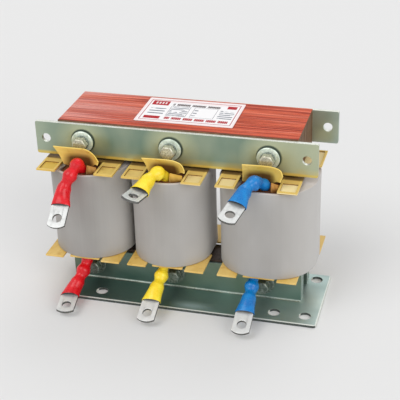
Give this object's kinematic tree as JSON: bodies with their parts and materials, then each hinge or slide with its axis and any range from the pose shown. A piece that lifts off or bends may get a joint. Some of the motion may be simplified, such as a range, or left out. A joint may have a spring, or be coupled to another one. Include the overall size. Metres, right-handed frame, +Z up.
{
  "type": "electrical reactor",
  "caption": "Iron-core electrical reactor: taped coils between laminated yokes, clamp bars with mounting eyes, sleeved leads with flat lugs and a folded sheet foot.",
  "frame": {"origin": "on the foot's underside, the mounting surface, below the middle of the upper yoke's depth", "axes": "+Z up; +X along the yokes; the terminals face -Y"},
  "size_m": [0.2869, 0.1701, 0.1762],
  "materials": {
    "zinc": "zinc-plated sheet, satin",
    "fastener": "zinc-plated",
    "core_paint": "red oxide paint on laminations",
    "core_steel": "varnished laminated steel",
    "tape": "smooth insulating tape",
    "winding": "varnished winding",
    "moulding": "moulded bobbin",
    "insulation_sheet": "thin insulation sheet",
    "red_sleeve": "heat-shrink sleeve",
    "yellow_sleeve": "heat-shrink sleeve",
    "blue_sleeve": "heat-shrink sleeve",
    "tinned_copper": "tin-plated, satin",
    "label": "printed film, left plain"
  },
  "bodies": {
    "root": {"back_clamp_bar": "zinc", "base_bracket": "zinc", "bolt_lower_a": "fastener", "bolt_lower_b": "fastener", "bolt_lower_c": "fastener", "bolt_upper_a": "fastener", "bolt_upper_b": "fastener", "bolt_upper_c": "fastener", "coil_tube_a": "moulding", "coil_tube_b": "moulding", "coil_tube_c": "moulding", "front_clamp_bar": "zinc", "insulation_fold_a": "insulation_sheet", "insulation_fold_b": "insulation_sheet", "insulation_fold_c": "insulation_sheet", "insulation_tongue_a": "insulation_sheet", "insulation_tongue_b": "insulation_sheet", "insulation_tongue_c": "insulation_sheet", "limb_a": "core_steel", "limb_b": "core_steel", "limb_c": "core_steel", "lower_flange_a": "moulding", "lower_flange_b": "moulding", "lower_flange_c": "moulding", "lower_lug_a": "tinned_copper", "lower_lug_b": "tinned_copper", "lower_lug_c": "tinned_copper", "lower_sleeve_a": "red_sleeve", "lower_sleeve_b": "yellow_sleeve", "lower_sleeve_c": "blue_sleeve", "lower_yoke": "core_steel", "nut_lower_a": "fastener", "nut_lower_b": "fastener", "nut_lower_c": "fastener", "nut_upper_a": "fastener", "nut_upper_b": "fastener", "nut_upper_c": "fastener", "rating_label": "label", "tape_wrap_a": "tape", "tape_wrap_b": "tape", "tape_wrap_c": "tape", "upper_flange_a": "moulding", "upper_flange_b": "moulding", "upper_flange_c": "moulding", "upper_lug_a": "tinned_copper", "upper_lug_b": "tinned_copper", "upper_lug_c": "tinned_copper", "upper_sleeve_a": "red_sleeve", "upper_sleeve_b": "yellow_sleeve", "upper_sleeve_c": "blue_sleeve", "upper_yoke": "core_paint", "washer_lower_a": "fastener", "washer_lower_b": "fastener", "washer_lower_c": "fastener", "washer_upper_a": "fastener", "washer_upper_b": "fastener", "washer_upper_c": "fastener", "winding_a": "winding", "winding_b": "winding", "winding_c": "winding"}
  },
  "joints": []
}
